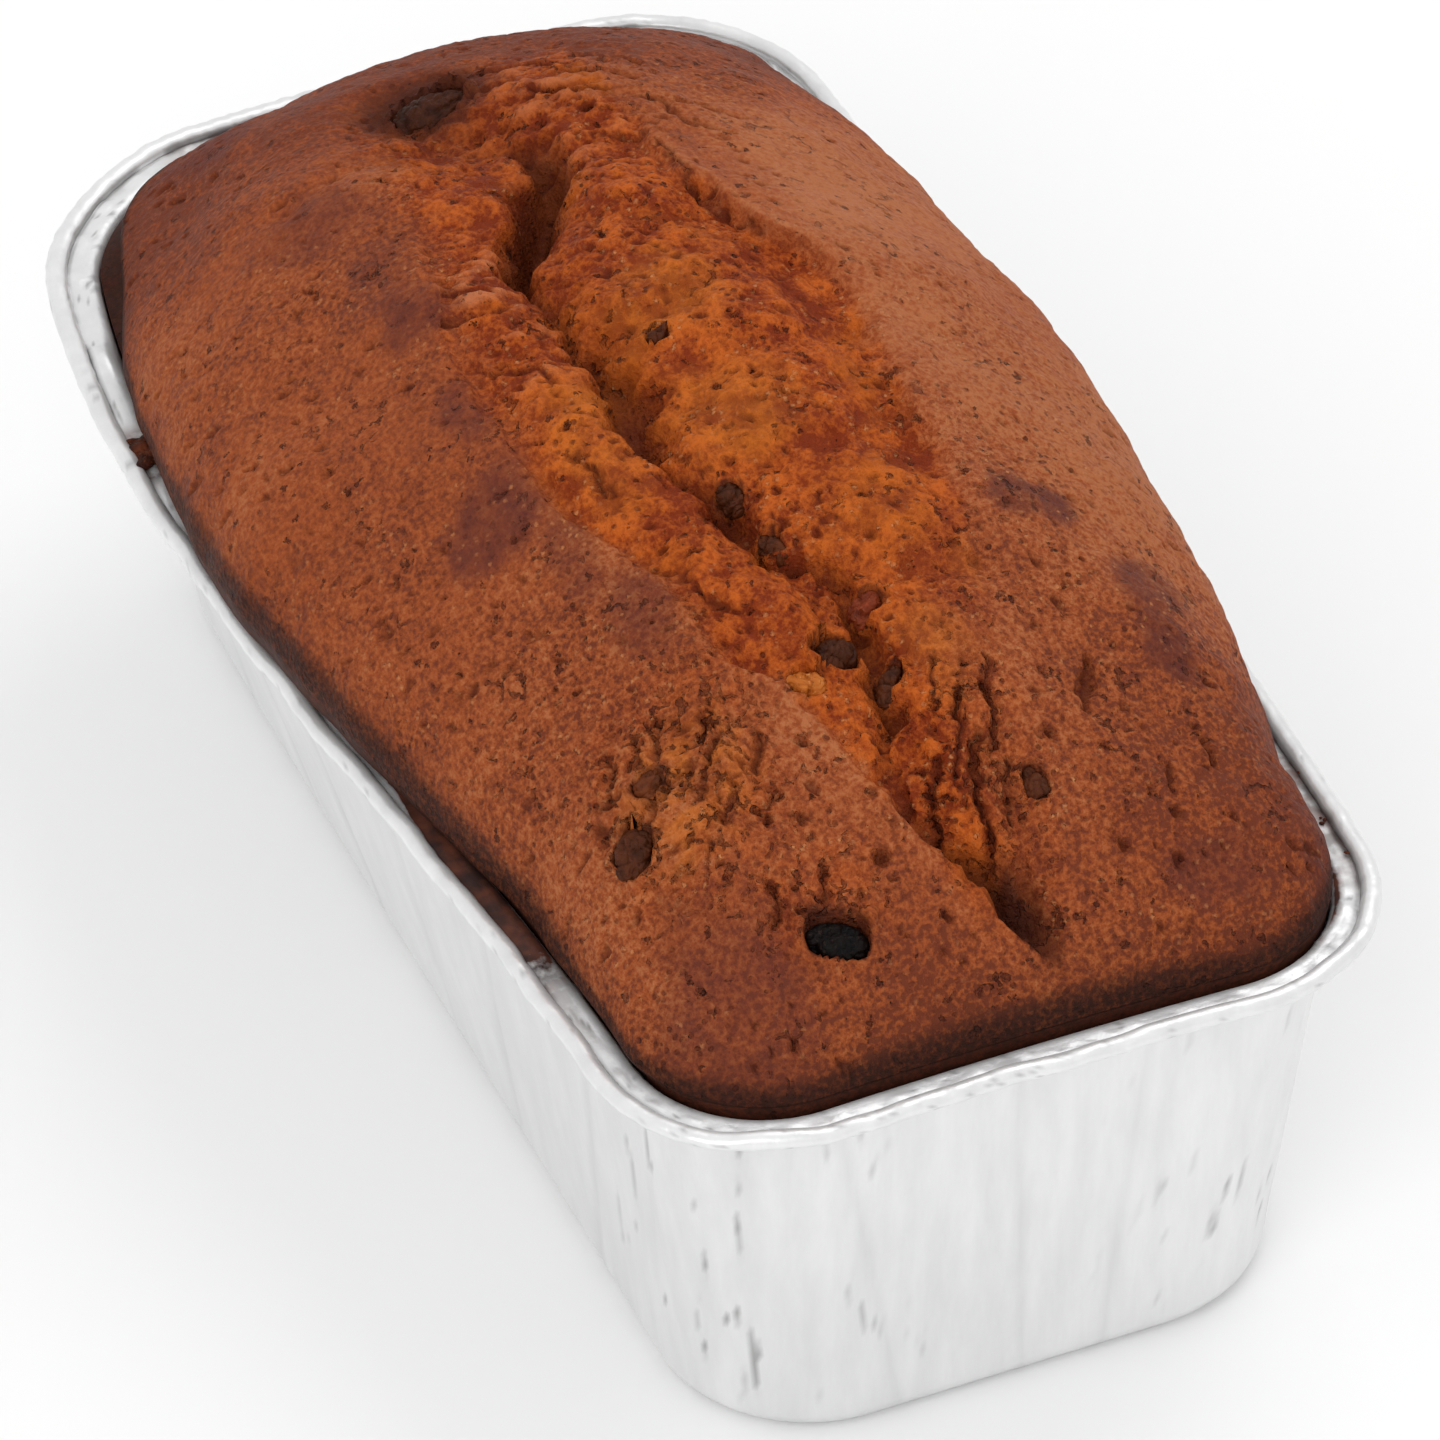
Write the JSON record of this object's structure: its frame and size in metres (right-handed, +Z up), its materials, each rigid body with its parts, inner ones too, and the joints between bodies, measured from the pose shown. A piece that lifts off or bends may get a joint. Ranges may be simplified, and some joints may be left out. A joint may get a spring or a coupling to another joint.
{
  "type": "fruit loaf",
  "caption": "Baked fruit loaf standing in its foil loaf tin, with a domed brown crust split along the top and dried fruit showing.",
  "frame": {"origin": "centre of the flat underside of the tin's base", "axes": "+X along the loaf towards the short end where the crack ends in a deep slot, -Y towards the long side whose rim bulges most, +Z up"},
  "size_m": [0.2195, 0.1168, 0.1011],
  "materials": {
    "crust": "matte browned crust with torn orange-brown crumb along the split",
    "foil": "soft pressed foil with fine wrinkles",
    "raisin": "dark wrinkled skin with a slight sheen",
    "cherry": "dark red with a slight sheen",
    "peel": "amber candied peel with a slight sheen"
  },
  "bodies": {
    "root": {"loaf": "crust", "foil_tin": "foil", "raisin_front": "raisin", "raisin_back": "raisin", "raisin_side": "raisin", "raisin_side_upper": "raisin", "raisin_crack": "raisin", "raisin_crack_lower": "raisin", "raisin_middle": "raisin", "raisin_middle_lower": "raisin", "raisin_right": "raisin", "raisin_top": "raisin", "cherry_piece": "cherry", "peel_piece": "peel"}
  },
  "joints": []
}
